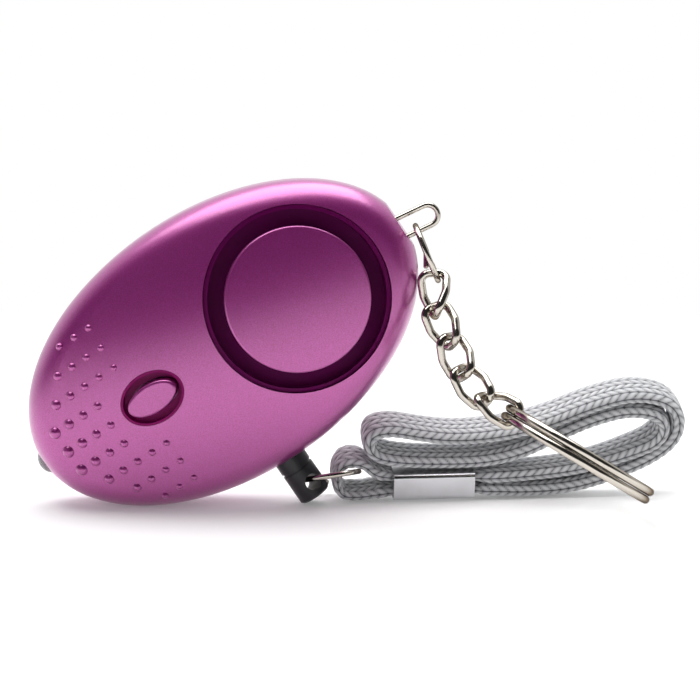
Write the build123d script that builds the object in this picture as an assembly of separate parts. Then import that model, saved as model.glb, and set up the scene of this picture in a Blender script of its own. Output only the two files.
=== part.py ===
"""Personal safety alarm with a pull pin, a key ring on a chain and a wrist strap.

Lengths are in millimetres. The housing is drawn in its own case frame: x along its long axis
towards the key bail, y across it, z out of its front, with z = 0 on the parting plane. It is then
stood on its long edge and on the end of its pull pin, tilted as it rests on a table, with its front
facing -Y. The finished model has +Z up, and its origin lies on the table under the middle of the
rigid pieces.
"""

import os
from math import asin, cos, degrees, radians, sin, sqrt, tan

from build123d import *

# Housing
case_length = 66.0
case_width = 40.6
front_height = 9.5
rear_height = 8.5
wall = 1.6
front_crown_long = 105.0
front_crown_cross = 45.0
rear_crown_long = 220.0
rear_crown_cross = 90.0
rim_round = 5.5
rest_flat_depth = 0.35
bail_flat_depth = 0.6
lip_height = 1.0
lip_wall = 0.7
lip_gap = 0.1
case_tilt_angle = 34.0
overrun = 2.0

# Siren: a crowned disc in a deep ring groove, over the sounder
siren_offset = 14.25
siren_disc_radius = 10.85
siren_disc_proud = 0.35
siren_disc_thickness = 3.0
siren_disc_edge = 0.35
groove_width = 3.15
well_depth = 5.4
well_wall = 1.2
ledge_thickness = 1.0
ledge_width = 1.5
grille_gap = 0.1
grille_thickness = 0.9
grille_liner = 0.6
grille_liner_drop = 0.55
grille_hub_wall = 1.0
grille_slot_width = 1.8
grille_slot_height = 1.0
grille_slot_count = 16
sounder_radius = 12.4
sounder_wall = 0.8
sounder_floor = 0.7
sounder_height = 2.2
sounder_rim_drop = 0.4
piezo_plate_thickness = 0.25
piezo_ceramic_radius = 8.0
piezo_ceramic_thickness = 0.2

# Light button in its oval recess
button_offset = -11.9
recess_length = 10.3
recess_width = 7.7
recess_depth = 1.3
button_length = 8.3
button_width = 4.4
button_proud = 0.5
button_edge = 0.45
button_gap = 0.15
button_travel = 0.4
button_flange_margin = 0.5
button_flange_thickness = 0.6
bezel_floor = 0.9
bezel_wall = 0.35
bezel_gap = 0.05
bezel_drop = 0.15
button_ledge = 0.7
button_ledge_width = 0.7
button_collar = 1.1
stem_radius = 1.1

# Grip domes on the narrow half of the front
dome_row_pitch = 3.43
dome_column_pitch = 2.70
dome_first_column = -27.65
dome_diameters = (1.60, 1.30, 1.08, 0.97, 0.86, 0.80)
dome_rows = ((3, 5), (2, 5), (1, 5), (0, 3), (0, 3), (0, 3), (1, 5), (2, 5), (3, 5))
dome_height_share = 0.28

# Lamp at the narrow tip
lamp_radius = 2.5
lamp_proud = 0.9
lamp_length = 8.6
lamp_flange_radius = 2.9
lamp_flange_thickness = 1.0
lamp_gap = 0.1
lead_thickness = 0.5
lead_spacing = 2.54
lead_length = 4.0

# Circuit board and what stands on it
board_thickness = 1.0
board_level = 0.2
board_left = -24.0
board_right = 5.0
board_width = 25.0
board_edge_gap = 0.5
switch_side = 6.0
switch_height = 2.5
plunger_radius = 1.6
plunger_height = 1.2
plunger_proud = 0.5
plunger_gap = 0.15
coil_radius = 3.2
coil_height = 4.0
coil_flange = 0.6
coil_flange_radius = 3.6
coil_place = (-3.6, 7.6)
chip_length = 4.9
chip_width = 3.9
chip_height = 1.5
chip_leg_width = 0.42
chip_leg_pitch = 1.27
chip_leg_rows = 4
chip_leg_reach = 1.0
chip_leg_thickness = 0.25
chip_place = (-19.3, -4.2)

# Button cells in their tray
cell_diameter = 11.6
cell_thickness = 5.4
cell_step_depth = 0.5
cell_step_inset = 1.0
cell_pitch = 12.6
cell_middle = (-2.0, 2.5)
cell_top_level = -0.25
tray_wall = 0.8
tray_gap = 0.1
tray_post = 1.6
strip_thickness = 0.2
strip_width = 4.0

# Case screws
screw_places = ((-18.6, 9.8), (-18.6, -9.8), (6.5, 14.9), (6.5, -14.9))
screw_head_radius = 1.6
screw_head_height = 1.1
screw_radius = 0.8
screw_length = 7.0
screw_seat_level = -4.4
screw_clearance = 0.15
screw_recess_depth = 0.35
screw_recess_width = 0.5
boss_wall = 0.75
boss_gap = 0.05

# Pull pin and its socket
pin_offset = -1.5
pin_radius = 2.55
pin_gap = 0.1
pin_shown = 7.1
pin_head_inside = 3.4
pin_shaft_radius = 1.5
pin_shaft_length = 8.0
pin_edge = 0.3
pin_neck_depth = 0.2
pin_neck_width = 0.5
pin_neck_from_end = 5.2
pin_hole_radius = 1.3
pin_hole_from_end = 2.3
pin_hole_turn_angle = 30.0
socket_wall = 1.0
socket_floor = 1.0
leaf_thickness = 0.25
leaf_width = 2.2
leaf_length = 7.0
leaf_gap = 0.05
pin_travel = 14.0

# Key bail: a bent wire loop at the wide tip
bail_wire = 0.8
bail_spacing = 3.14
bail_middle = -0.5
bail_reach = 6.2
bail_turn_angle = -8.5
bail_depth = 4.6
bail_foot = 1.6
bail_block_margin = 1.4
bail_gap = 0.05

# Small split rings, one on the bail and one through the pin
small_ring_diameter = 9.7
small_ring_wire = 0.85
ring_turn_gap = 0.05
ring_jog_angle = 28.0
bail_ring_place = 1.45
bail_ring_gap = 0.06
bail_ring_drop = (0.370, -0.300, -0.880)
pin_ring_droop_angle = 28.0
pin_ring_seat = 0.35

# Chain of twisted links
link_pitch = 5.1
link_width = 5.5
link_wire = 1.2
link_gap = 0.12
ring_link_gap = 0.4
link_twist_angle = 45.0
link_end_share = 0.95
link_end_radius = 1.25
link_side_radius = 2.5
chain_directions = (
    (0.053, -0.370, -0.928),
    (0.418, -0.370, -0.830),
    (0.319, -0.370, -0.873),
    (0.610, -0.370, -0.700),
    (0.833, -0.370, -0.412),
)
chain_turn_angles = (40.0, 15.0, 0.0, -10.0, -38.0)

# Key ring
key_ring_diameter = 25.0
key_ring_wire = 1.25
key_ring_direction = (0.855, 0.0, -0.518)
key_ring_across = (-0.07, 0.99, -0.115)

# Wrist strap: one flat braid, pinched in a crimp into a small eye and a wrist loop
strap_width = 5.4
strap_thickness = 1.6
strap_lean_angle = 10.0
strap_yaw_angle = 6.0
strap_eye_reach = 8.65
strap_eye_from_ring = (0.72, 0.65)
crimp_length = 12.6
crimp_wall = 0.3
crimp_gap = 0.12
crimp_round = 0.7
strand_low = 1.95
strand_high = 3.85
strap_bend_share = 0.45
# The route of the strap's middle line in its upright plane, as (along, up), from inside the crimp
# round the eye, back through the crimp, along the table, round the wrist loop and into the crimp.
strap_route = (
    (6.2, strand_high),
    (-2.0, strand_high),
    (-4.9, 7.10),
    (-8.65, 6.50),
    (-8.60, 1.60),
    (-4.8, 1.48),
    (-2.0, strand_low),
    (15.0, strand_low),
    (20.5, 1.62),
    (27.5, 1.90),
    (34.0, 3.55),
    (40.0, 6.40),
    (43.9, 10.40),
    (42.9, 15.00),
    (37.5, 16.60),
    (31.0, 15.10),
    (24.0, 12.30),
    (17.0, 10.80),
    (9.5, 10.30),
    (3.5, 11.20),
    (-0.4, 12.00),
    (-3.8, 11.30),
    (-3.4, 8.10),
    (0.6, 6.95),
    (7.5, 6.55),
    (14.5, 6.60),
    (20.3, 8.00),
    (26.0, 10.75),
    (31.5, 13.00),
    (37.0, 14.15),
    (40.9, 12.70),
    (40.7, 9.10),
    (35.8, 6.95),
    (29.5, 4.95),
    (22.0, 4.15),
    (15.0, strand_high),
    (6.4, strand_high),
)

half_length = case_length / 2
half_width = case_width / 2


def crown_height(along, across):
    """Height of the front's crown over the parting plane."""
    ring = front_crown_long - front_crown_cross + sqrt(front_crown_cross**2 - across**2)
    return front_height - front_crown_long + sqrt(ring**2 - along**2)


def egg(height, crown_long, crown_cross, inset=0.0, proud=0.0):
    """Half of the egg: an elliptical block with a crowned top and a rounded rim, set in by inset."""
    level = height - inset + proud
    block = extrude(Ellipse(half_length - inset, half_width - inset), amount=height + overrun)
    dome = Rot(90, 0, 0) * Torus(crown_long - crown_cross, crown_cross)
    block = block & Pos(0, 0, level - crown_long) * dome
    rim = block.faces().sort_by(Axis.Z)[-1].edges()
    block = fillet(rim, radius=rim_round - inset)
    flat = Pos(half_length - bail_flat_depth - inset, 0, 0) * Box(
        case_length, case_width, case_length, align=(Align.MIN, Align.CENTER, Align.CENTER)
    )
    return block - flat


def front_egg(inset=0.0, proud=0.0):
    return egg(front_height, front_crown_long, front_crown_cross, inset, proud)


def rear_egg(inset=0.0):
    half = egg(rear_height, rear_crown_long, rear_crown_cross, inset)
    return mirror(half, about=Plane.XY)


def surface_place(along):
    """A frame on the front's surface, on the long axis, with z along the surface's normal."""
    tilt = degrees(asin(along / front_crown_long))
    return Pos(along, 0, crown_height(along, 0)) * Rot(0, tilt, 0)


siren_place = surface_place(siren_offset)
button_place = surface_place(button_offset)
well_radius = siren_disc_radius + groove_width
pin_end = half_width * sqrt(1 - (pin_offset / half_length) ** 2) + pin_shown
pin_hole_level = -(pin_end - pin_hole_from_end)
board_top = board_level + board_thickness
plunger_top = board_top + switch_height + plunger_proud
plunger_bottom = plunger_top - plunger_height
socket_inner = half_width - wall - pin_head_inside
pilot_top = screw_seat_level + screw_length + 2 * screw_clearance
boss_radius = screw_head_radius + screw_clearance + boss_wall
switch_along = button_offset - (crown_height(button_offset, 0) - board_top - switch_height) * tan(
    asin(button_offset / front_crown_long)
)


def tube(radius, low, high, bore=0.0):
    """A round bar, or a tube, standing on z from low to high."""
    bar = Pos(0, 0, low) * Cylinder(radius, high - low, align=(Align.CENTER, Align.CENTER, Align.MIN))
    if bore:
        hole = Pos(0, 0, low - overrun) * Cylinder(
            bore, high - low + 2 * overrun, align=(Align.CENTER, Align.CENTER, Align.MIN)
        )
        bar = bar - hole
    return bar


def oval(length, width, low, high):
    """An elliptical block from low to high."""
    return Pos(0, 0, low) * extrude(Ellipse(length / 2, width / 2), amount=high - low)


def block(low, high):
    """A box between two corners."""
    size = [b - a for a, b in zip(low, high)]
    return Pos(*low) * Box(*size, align=(Align.MIN, Align.MIN, Align.MIN))


def across_case(shape):
    """Turns a shape on z so that it lies along the pin's axis, with z pointing out of the case."""
    return Pos(pin_offset, 0, 0) * Rot(90, 0, 0) * shape


def bail_place():
    """The frame of the bail: x out of the tip, y across its legs."""
    return Pos(half_length - bail_flat_depth, bail_middle, 0) * Rot(0, 0, bail_turn_angle)


def bail_wire_solid(radius):
    """The bail's bent wire: a foot, a leg, the bend, the other leg and its foot."""
    half = bail_spacing / 2
    bend = bail_reach - half - bail_wire / 2
    path = Polyline((-bail_depth, half + bail_foot), (-bail_depth, half), (bend, half))
    other = Polyline((bend, -half), (-bail_depth, -half), (-bail_depth, -half - bail_foot))
    arc = ThreePointArc((bend, half), (bend + half, 0), (bend, -half))
    solids = []
    for line in (path, other):
        for edge in line.edges():
            solids.append(bar_between(edge @ 0, edge @ 1, radius))
    turn = sweep(Plane(origin=arc @ 0, z_dir=arc % 0) * Circle(radius), path=arc)
    elbows = [Pos(-bail_depth, side * half, 0) * Sphere(radius) for side in (-1, 1)]
    whole = turn
    for piece in solids + elbows:
        whole = whole + piece
    return bail_place() * whole


def bar_between(start, end, radius):
    """A straight round bar between two points."""
    start, end = Vector(*start), Vector(*end)
    axis = end - start
    return Plane(origin=start, z_dir=axis) * Cylinder(
        radius, axis.length, align=(Align.CENTER, Align.CENTER, Align.MIN)
    )


def bail_block(grow=0.0):
    """The solid end of a shell that holds the bail's legs and feet."""
    reach = bail_spacing / 2 + bail_foot + bail_block_margin + grow
    side = bail_wire / 2 + bail_block_margin + grow
    return Pos(0, bail_middle, 0) * block(
        (half_length - bail_depth - bail_block_margin - bail_wire - grow, -reach, -side),
        (half_length, reach, side),
    )


def screw_drums(radius, low, high):
    """A round bar at each case screw, from low to high."""
    return [Pos(x, y, 0) * tube(radius, low, high) for x, y in screw_places]


def grip_domes():
    """Low round domes in rows along the case, smaller towards its middle."""
    domes = []
    middle = (len(dome_rows) - 1) / 2
    for row, (first, last) in enumerate(dome_rows):
        across = (middle - row) * dome_row_pitch
        for column in range(first, last + 1):
            along = dome_first_column + column * dome_column_pitch
            width = dome_diameters[column]
            rise = width * dome_height_share
            radius = (width**2 / 4 + rise**2) / (2 * rise)
            top = crown_height(along, across) + rise
            domes.append(Pos(along, across, top - radius) * Sphere(radius))
    return domes


def siren_well(grow=0.0):
    """The drum that the siren sits in, down to the ledge's underside."""
    return siren_place * tube(
        well_radius + well_wall + grow, -well_depth - ledge_thickness - grow, overrun
    )


def pin_socket_drum(grow=0.0):
    """Material round the pull pin's head, from the case wall inwards."""
    return across_case(
        tube(pin_radius + socket_wall + grow, socket_inner - grow, half_width)
    )


def shared_holes():
    """What passes through both halves: the pin, the lamp and the bail."""
    return [
        across_case(tube(pin_radius + pin_gap, socket_inner - overrun, case_width)),
        Rot(0, -90, 0) * tube(lamp_radius + lamp_gap, half_length / 2, case_length),
        bail_wire_solid(bail_wire / 2 + bail_gap),
    ]


def front_shell():
    """The front half: crowned skin, siren well, button recess, bosses and the pin's half socket."""
    button_floor = -recess_depth - bezel_floor
    kept = [
        siren_well(),
        button_place
        * oval(
            recess_length + 2 * button_collar,
            recess_width + 2 * button_collar,
            button_floor - button_ledge,
            overrun,
        ),
        bail_block(),
        pin_socket_drum(),
    ]
    kept += screw_drums(boss_radius, -overrun, front_height)
    cavity = front_egg(wall)
    for piece in kept:
        cavity = cavity - piece
    skin = front_egg()
    for dome in grip_domes():
        skin = skin + dome
    skin = skin - cavity
    cuts = [
        siren_place * tube(well_radius, -well_depth, overrun),
        siren_place
        * tube(well_radius - ledge_width, -well_depth - 2 * ledge_thickness, overrun),
        button_place
        * oval(
            recess_length + 2 * bezel_gap,
            recess_width + 2 * bezel_gap,
            button_floor,
            overrun,
        ),
        button_place
        * oval(
            recess_length - 2 * button_ledge_width,
            recess_width - 2 * button_ledge_width,
            button_floor - 2 * button_ledge,
            overrun,
        ),
    ]
    cuts += shared_holes()
    cuts += screw_drums(screw_radius, -overrun, pilot_top)
    for piece in cuts:
        skin = skin - piece
    return skin


def lip_ring():
    """The thin rim of the rear half that stands inside the front half's wall."""
    outside = wall + lip_gap
    inside = outside + lip_wall
    rim = front_egg(outside) - front_egg(inside)
    slab = block((-case_length, -case_width, 0), (case_length, case_width, lip_height))
    return rim & slab


def rear_shell():
    """The rear half: flatter skin with a rest flat, a locating lip, screw bosses and the half socket."""
    kept = [bail_block(), pin_socket_drum()]
    kept += screw_drums(boss_radius, -case_length, -boss_gap)
    outside = wall + lip_gap
    root = rear_egg(wall - lip_wall) - rear_egg(outside + lip_wall)
    kept.append(root & block((-case_length, -case_width, -lip_height), (case_length, case_width, overrun)))
    cavity = rear_egg(wall)
    for piece in kept:
        cavity = cavity - piece
    skin = rear_egg() - cavity
    lip = lip_ring()
    clear = [siren_well(lip_gap), pin_socket_drum(lip_gap), bail_block(lip_gap)]
    clear += screw_drums(boss_radius + lip_gap, -overrun, front_height)
    for piece in clear:
        lip = lip - piece
    skin = skin + lip
    cuts = shared_holes()
    cuts.append(siren_well(lip_gap))
    cuts.append(
        block(
            (-case_length, -case_width, -case_width),
            (case_length, case_width, -rear_height + rest_flat_depth),
        )
    )
    cuts += screw_drums(screw_radius + screw_clearance, -case_width, overrun)
    cuts += screw_drums(screw_head_radius + screw_clearance, -case_width, screw_seat_level)
    for piece in cuts:
        skin = skin - piece
    return skin


def siren_grille():
    """The dark ring in the groove: floor, outer liner and the disc's hub, with the sound windows."""
    outside = well_radius - grille_gap
    floor_low = -well_depth
    floor_high = floor_low + grille_thickness
    hub_radius = siren_disc_radius - grille_hub_wall / 2
    liner = tube(outside, floor_low, overrun, bore=outside - grille_liner)
    liner = (siren_place * liner) & front_egg(grille_liner_drop)
    plate = tube(outside, floor_low, floor_high, bore=hub_radius - grille_hub_wall)
    hub = tube(hub_radius, floor_low, -siren_disc_thickness, bore=hub_radius - grille_hub_wall)
    window = Pos(hub_radius, 0, floor_high) * Box(
        2 * grille_hub_wall + overrun,
        grille_slot_width,
        grille_slot_height,
        align=(Align.CENTER, Align.CENTER, Align.MIN),
    )
    for turn in range(grille_slot_count):
        hub = hub - Rot(0, 0, 360 * turn / grille_slot_count) * window
    return siren_place * (plate + hub) + liner


def siren_disc():
    """The crowned disc that hides the sounder."""
    drum = siren_place * tube(siren_disc_radius, -siren_disc_thickness, overrun)
    disc = siren_place.inverse() * (drum & front_egg(0, siren_disc_proud))
    crown = disc.faces().sort_by(Axis.Z)[-1]
    return siren_place * fillet(crown.edges(), radius=siren_disc_edge)


def sounder_chamber():
    """A shallow cup under the ledge, whose flange the piezo disc is glued to."""
    high = -well_depth
    low = high - sounder_height
    cup = tube(sounder_radius, low, high)
    cup = cup - tube(sounder_radius - sounder_wall, low + sounder_floor, high + overrun)
    step_high = high - sounder_rim_drop - piezo_plate_thickness
    step = tube(
        sounder_radius - sounder_wall,
        low + sounder_floor,
        step_high,
        bore=sounder_radius - 2 * sounder_wall,
    )
    return siren_place * (cup + step)


def piezo_disc():
    """The brass plate with its ceramic layer, on the cup's step."""
    high = -well_depth - sounder_rim_drop
    low = high - piezo_plate_thickness
    plate = tube(sounder_radius - sounder_wall - grille_gap, low, high)
    layer = tube(piezo_ceramic_radius, low - piezo_ceramic_thickness, low)
    return siren_place * (plate + layer)


def button_bezel():
    """The oval cup in the recess that the light button slides in."""
    floor_low = -recess_depth - bezel_floor
    cup = oval(recess_length, recess_width, floor_low, -bezel_drop)
    hollow = oval(
        recess_length - 2 * bezel_wall, recess_width - 2 * bezel_wall, -recess_depth, overrun
    )
    hole = oval(
        button_length + 2 * button_gap,
        button_width + 2 * button_gap,
        floor_low - overrun,
        overrun,
    )
    return (button_place * (cup - hollow - hole)) & front_egg()


def light_button():
    """The oval button with a rounded top, a flange under the ledge and a stem to the switch."""
    flange_high = -recess_depth - bezel_floor - button_ledge - bezel_gap
    flange_low = flange_high - button_flange_thickness
    cap = oval(button_length, button_width, flange_low, button_proud)
    cap = fillet(cap.faces().sort_by(Axis.Z)[-1].edges(), radius=button_edge)
    grow = 2 * button_flange_margin - 2 * button_ledge_width
    flange = oval(recess_length + grow, recess_width + grow, flange_low, flange_high)
    stem = button_place * tube(stem_radius, -front_height, flange_low)
    stem = stem - block(
        (-case_length, -case_width, -case_width), (case_length, case_width, plunger_top)
    )
    return button_place * (cap + flange) + stem


def tact_switch():
    """The square switch body under the button."""
    body = Pos(switch_along, 0, board_top) * Box(
        switch_side, switch_side, switch_height, align=(Align.CENTER, Align.CENTER, Align.MIN)
    )
    pocket = tube(plunger_radius + plunger_gap, plunger_bottom - button_travel - plunger_gap, case_width)
    return body - Pos(switch_along, 0, 0) * pocket


def switch_plunger():
    """The round key of the switch, which the button's stem presses."""
    return Pos(switch_along, 0, 0) * tube(plunger_radius, plunger_bottom, plunger_top)


def lamp():
    """A clear round lamp with a domed end, lying along the long axis in the narrow tip."""
    tip = half_length + lamp_proud
    barrel = tube(lamp_radius, tip - lamp_length, tip - lamp_radius)
    dome = Pos(0, 0, tip - lamp_radius) * Sphere(lamp_radius)
    flange = tube(
        lamp_flange_radius, tip - lamp_length - lamp_flange_thickness, tip - lamp_length
    )
    return Rot(0, -90, 0) * (barrel + dome + flange)


def lamp_leads():
    """The lamp's two leads, running back onto the circuit board."""
    start = -(half_length + lamp_proud - lamp_length - lamp_flange_thickness)
    leads = []
    for side in (-1, 1):
        middle = side * lead_spacing / 2
        leads.append(
            block(
                (start, middle - lead_thickness / 2, board_top),
                (start + lead_length, middle + lead_thickness / 2, board_top + lead_thickness),
            )
        )
    return Compound(children=leads)


def circuit_board():
    """The board, cut to the egg, with room for the bosses and the pin's socket."""
    plate = block(
        (board_left, -board_width / 2, board_level), (board_right, board_width / 2, board_top)
    )
    plate = plate & front_egg(wall + lip_gap + lip_wall + board_edge_gap)
    for drum in screw_drums(boss_radius + board_edge_gap, -overrun, front_height):
        plate = plate - drum
    notch = pin_radius + socket_wall + board_edge_gap
    return plate - block(
        (pin_offset - notch, -case_width, -overrun),
        (pin_offset + notch, -(socket_inner - pin_shaft_length), front_height),
    )


def boost_coil():
    """A small drum coil: a winding between two flanges."""
    x, y = coil_place
    base = board_top
    low = tube(coil_flange_radius, base, base + coil_flange)
    winding = tube(coil_radius, base + coil_flange, base + coil_height - coil_flange)
    high = tube(coil_flange_radius, base + coil_height - coil_flange, base + coil_height)
    return Pos(x, y, 0) * (low + winding + high)


def driver_chip():
    """An eight-legged chip lying on the board."""
    x, y = chip_place
    body = block(
        (-chip_width / 2, -chip_length / 2, board_top + chip_leg_thickness),
        (chip_width / 2, chip_length / 2, board_top + chip_height),
    )
    for row in range(chip_leg_rows):
        middle = (row - (chip_leg_rows - 1) / 2) * chip_leg_pitch
        body = body + block(
            (-chip_width / 2 - chip_leg_reach, middle - chip_leg_width / 2, board_top),
            (
                chip_width / 2 + chip_leg_reach,
                middle + chip_leg_width / 2,
                board_top + 2 * chip_leg_thickness,
            ),
        )
    return Pos(x, y, 0) * body


def cell_places():
    x, y = cell_middle
    return [(x + step * cell_pitch, y) for step in (-1, 0, 1)]


def button_cells():
    """Three button cells side by side, each with the raised step of its lid."""
    low = cell_top_level - cell_thickness
    cells = []
    for x, y in cell_places():
        can = tube(cell_diameter / 2, low + cell_step_depth, cell_top_level)
        lid = tube(cell_diameter / 2 - cell_step_inset, low, low + cell_step_depth)
        cells.append(Pos(x, y, 0) * (can + lid))
    return Compound(children=cells)


def battery_tray():
    """The frame that holds the three cells, on posts between the rear half and the board."""
    reach = cell_diameter / 2 + tray_gap + tray_wall
    x, y = cell_middle
    low = cell_top_level - cell_thickness + cell_step_depth
    frame = block(
        (x - cell_pitch - reach, y - reach, low),
        (x + cell_pitch + reach, y + reach, cell_top_level),
    )
    for side in (-1, 1):
        post_x = x + side * cell_pitch / 2
        for edge in (y - reach, y + reach - tray_post):
            frame = frame + block(
                (post_x - tray_post / 2, edge, -rear_height),
                (post_x + tray_post / 2, edge + tray_post, board_level),
            )
    for cx, cy in cell_places():
        frame = frame - Pos(cx, cy, 0) * tube(
            cell_diameter / 2 + tray_gap, low - overrun, cell_top_level + overrun
        )
    upper = frame & block(
        (-case_length, -case_width, -overrun), (case_length, case_width, overrun)
    )
    lower = frame - block(
        (-case_length, -case_width, -overrun), (case_length, case_width, overrun)
    )
    frame = upper + (lower & rear_egg(wall))
    for drum in screw_drums(boss_radius + tray_gap, -case_width, overrun):
        frame = frame - drum
    return frame


def contact_strips():
    """The strips that join the cells in a row, above and below."""
    places = cell_places()
    low = cell_top_level - cell_thickness
    strips = []
    for (ax, ay), (bx, by), base in (
        (places[0], places[1], low - strip_thickness),
        (places[1], places[2], cell_top_level),
    ):
        strips.append(
            block(
                (ax - strip_width / 2, ay - strip_width / 2, base),
                (bx + strip_width / 2, by + strip_width / 2, base + strip_thickness),
            )
        )
    for (cx, cy), base in ((places[0], cell_top_level), (places[2], low - strip_thickness)):
        strips.append(
            block(
                (cx - strip_width / 2, cy - strip_width / 2, base),
                (cx + strip_width / 2, cy + strip_width / 2, base + strip_thickness),
            )
        )
    return Compound(children=strips)


def case_screws():
    """Four self-tapping screws with round heads, driven in from the back."""
    screws = []
    for x, y in screw_places:
        shank = tube(screw_radius, screw_seat_level, screw_seat_level + screw_length)
        head = tube(screw_head_radius, screw_seat_level - screw_head_height, screw_seat_level)
        slots = []
        for turn in (0, 90):
            slots.append(
                Rot(0, 0, turn)
                * Pos(0, 0, screw_seat_level - screw_head_height)
                * Box(screw_head_radius, screw_recess_width, 2 * screw_recess_depth)
            )
        screw = head + shank
        for slot in slots:
            screw = screw - slot
        screws.append(Pos(x, y, 0) * screw)
    return Compound(children=screws)


def pull_pin():
    """The round pull pin: grip end with a cross hole, and a thin shaft that parts the contacts."""
    head = tube(pin_radius, socket_inner + pin_gap, pin_end)
    rims = head.edges().filter_by(GeomType.CIRCLE)
    head = chamfer(rims, length=pin_edge)
    neck_level = pin_end - pin_neck_from_end
    neck = tube(
        pin_radius + overrun,
        neck_level - pin_neck_width / 2,
        neck_level + pin_neck_width / 2,
        bore=pin_radius - pin_neck_depth,
    )
    shaft = tube(pin_shaft_radius, socket_inner - pin_shaft_length, socket_inner + 2 * pin_edge)
    tip = shaft.faces().sort_by(Axis.Z)[0].edges()
    shaft = chamfer(tip, length=2 * pin_edge)
    pin = across_case(head - neck + shaft)
    hole = Plane(origin=(pin_offset, pin_hole_level, 0), z_dir=pin_hole_direction()) * Cylinder(
        pin_hole_radius, 2 * case_width
    )
    return pin - hole


def pin_hole_direction():
    """The cross hole's axis in the case frame, out of the front and turned towards the wide tip."""
    turn = radians(pin_hole_turn_angle)
    return Vector(sin(turn), 0, cos(turn))


def pin_socket():
    """The moulded block behind the pin's head that carries the two contact leaves."""
    inner = socket_inner - pin_shaft_length
    half = pin_shaft_radius + leaf_gap + leaf_thickness + socket_floor
    body = block((-half, -half, inner), (half, half, socket_inner))
    bore = tube(pin_shaft_radius + pin_gap, inner - overrun, socket_inner + overrun)
    body = body - bore
    for side in (-1, 1):
        slot = block(
            (-leaf_width / 2 - leaf_gap, 0, inner - overrun),
            (
                leaf_width / 2 + leaf_gap,
                pin_shaft_radius + leaf_gap + leaf_thickness,
                inner + leaf_length,
            ),
        )
        body = body - Rot(0, 0, 90 * side) * slot
    return across_case(body)


def contact_leaves():
    """Two spring leaves that the pin's shaft holds apart."""
    inner = socket_inner - pin_shaft_length
    leaves = []
    for side in (-1, 1):
        leaf = block(
            (-leaf_width / 2, pin_shaft_radius + leaf_gap, inner),
            (
                leaf_width / 2,
                pin_shaft_radius + leaf_gap + leaf_thickness,
                inner + leaf_length - leaf_gap,
            ),
        )
        leaves.append(across_case(Rot(0, 0, 90 * side) * leaf))
    return Compound(children=leaves)


def case_frame():
    """Where the case frame stands: front to -Y, long axis tilted up to +X, resting on its edge."""
    tilt = radians(case_tilt_angle)
    reach = sqrt((half_length * sin(tilt)) ** 2 + (half_width * cos(tilt)) ** 2)
    return Plane(origin=(0, 0, reach), x_dir=(cos(tilt), 0, sin(tilt)), z_dir=(0, -1, 0))


def stood(point):
    """A point of the case frame in the standing frame."""
    return case_frame().from_local_coords(Vector(*point))


def stood_direction(direction):
    return stood(direction) - stood((0, 0, 0))


def split_ring(diameter, wire):
    """A split ring in its own plane: two turns side by side, joined by a jog at the back."""
    radius = (diameter - wire) / 2
    step = (wire + ring_turn_gap) / 2
    half_jog = ring_jog_angle / 2
    turn = Rot(0, 0, 90 + half_jog) * revolve(
        Plane.XZ * Pos(radius, 0) * Circle(wire / 2), axis=Axis.Z, revolution_arc=360 - ring_jog_angle
    )
    ends = []
    for side in (-1, 1):
        angle = radians(90 + side * half_jog)
        ends.append(Vector(radius * cos(angle), radius * sin(angle), side * step))
    ring = Pos(0, 0, step) * turn + Pos(0, 0, -step) * turn
    jog = bar_between(ends[0], ends[1], wire / 2)
    for end in ends:
        jog = jog + Pos(*end) * Sphere(wire / 2)
    return ring + jog


def bail_leg_direction():
    turn = radians(bail_turn_angle)
    return stood_direction((cos(turn), sin(turn), 0))


def bail_ring_hang():
    """The point on the middle line of the bail's lower leg that the small ring hangs on."""
    spot = bail_place() * Pos(bail_ring_place, -bail_spacing / 2, 0)
    return stood(spot.position)


def bail_ring_frame():
    """The small ring's frame: x down to its lowest point, y to the back."""
    drop = Vector(*bail_ring_drop).normalized()
    inner = small_ring_diameter / 2 - small_ring_wire - bail_wire / 2 - bail_ring_gap
    centre = bail_ring_hang() + drop * inner
    return Plane(origin=centre, x_dir=drop, z_dir=drop.cross(Vector(0, 1, 0)))


def chain_joints():
    """The points where the chain's pieces meet, from the small ring down to the key ring."""
    frame = bail_ring_frame()
    inner = small_ring_diameter / 2 - small_ring_wire - ring_link_gap / 2
    points = [frame.origin + frame.x_dir * inner]
    for direction in chain_directions:
        points.append(points[-1] + Vector(*direction).normalized() * link_pitch)
    return points


def link_outline():
    """One chain link along x: two half loops whose ends are twisted against each other."""
    long = (link_pitch + link_wire + link_gap) / 2
    side = (link_width - link_wire) / 2
    end = side * link_end_share
    twist = radians(link_twist_angle)
    path = FilletPolyline(
        (-long, 0, 0),
        (-long, end * cos(twist), -end * sin(twist)),
        (0, side, 0),
        (long, end * cos(twist), end * sin(twist)),
        (long, 0, 0),
        radius=[link_end_radius, link_side_radius, link_end_radius],
    )
    half = sweep(Plane(origin=path @ 0, z_dir=path % 0) * Circle(link_wire / 2), path=path)
    return half + Rot(180, 0, 0) * half


def chain_links():
    """The five links, each laid between two joints with its broad side to the front."""
    link = link_outline()
    points = chain_joints()
    links = []
    for start, end, turn in zip(points, points[1:], chain_turn_angles):
        down = (end - start).normalized()
        across = down.cross(Vector(0, -1, 0))
        facing = across.cross(down) * -1
        frame = Plane(origin=(start + end) / 2, x_dir=down, z_dir=facing)
        links.append(frame.location * Rot(turn, 0, 0) * link)
    return links


def key_ring_frame():
    """The key ring's frame: x away from the chain, y to the back."""
    along = Vector(*key_ring_direction).normalized()
    inner = key_ring_diameter / 2 - key_ring_wire - ring_link_gap / 2
    centre = chain_joints()[-1] + along * inner
    return Plane(origin=centre, x_dir=along, z_dir=along.cross(Vector(*key_ring_across)))


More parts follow.
